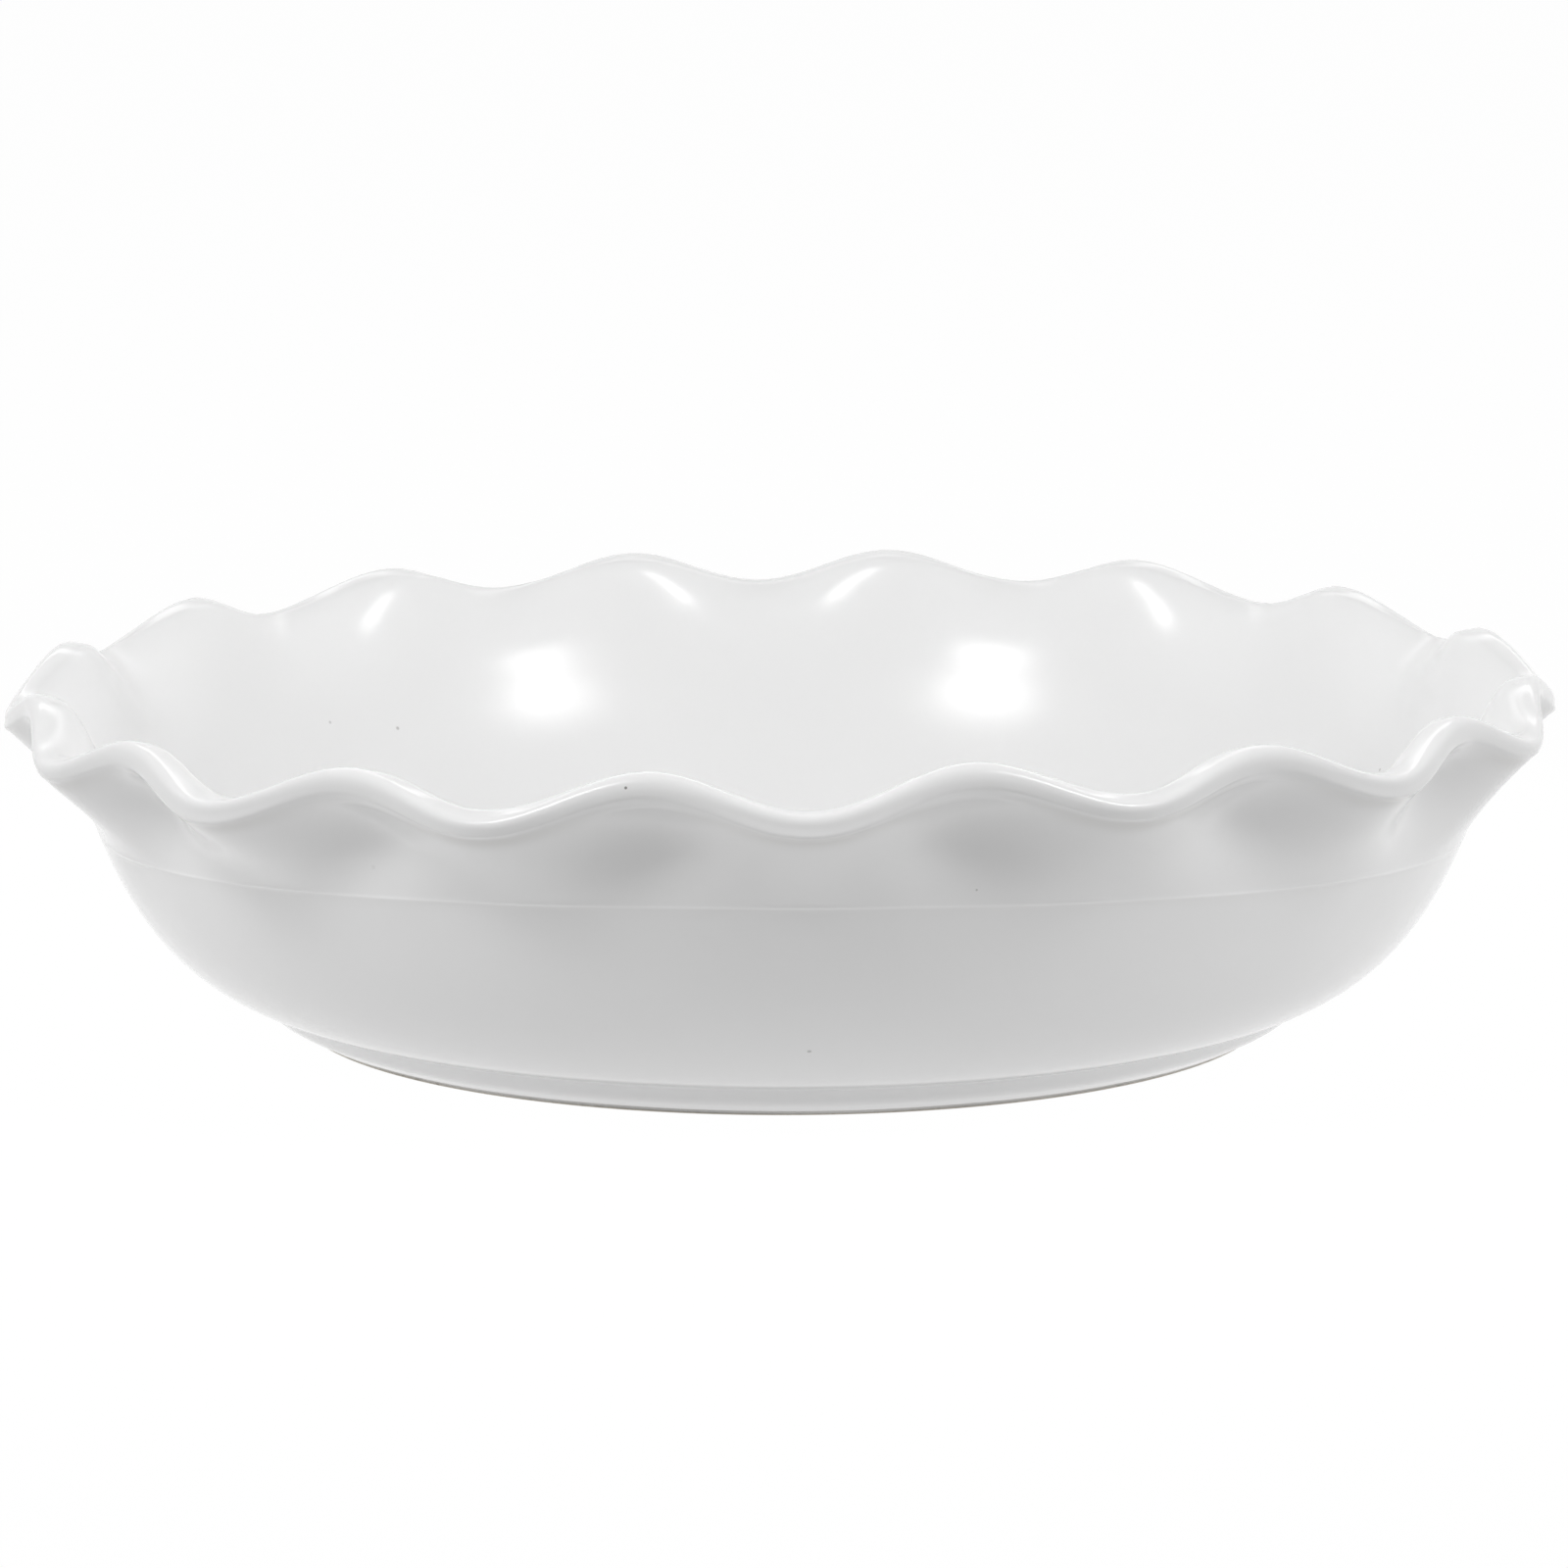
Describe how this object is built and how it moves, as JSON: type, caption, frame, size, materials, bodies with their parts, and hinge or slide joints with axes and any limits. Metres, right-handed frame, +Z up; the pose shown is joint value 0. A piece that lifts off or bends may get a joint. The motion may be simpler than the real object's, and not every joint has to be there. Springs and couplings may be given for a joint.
{
  "type": "ruffled pie dish",
  "caption": "Round ceramic pie dish with a deep bowl, a flat floor, a thick ruffled rim that folds in and out all the way round, and a low foot ring.",
  "frame": {"origin": "on the table, under the middle of the dish, in the plane that the foot ring stands on", "axes": "+Z up, out of the dish's mouth; -Y towards the front of the picture; the lobes repeat evenly round Z"},
  "size_m": [0.27, 0.27, 0.0649],
  "materials": {
    "fired_clay": "matt, bare fired clay",
    "white_glaze": "high gloss white glaze with a few pinholes"
  },
  "bodies": {
    "root": {"clay_body": "fired_clay", "glaze_coat": "white_glaze", "underside_glaze": "white_glaze"}
  },
  "joints": []
}
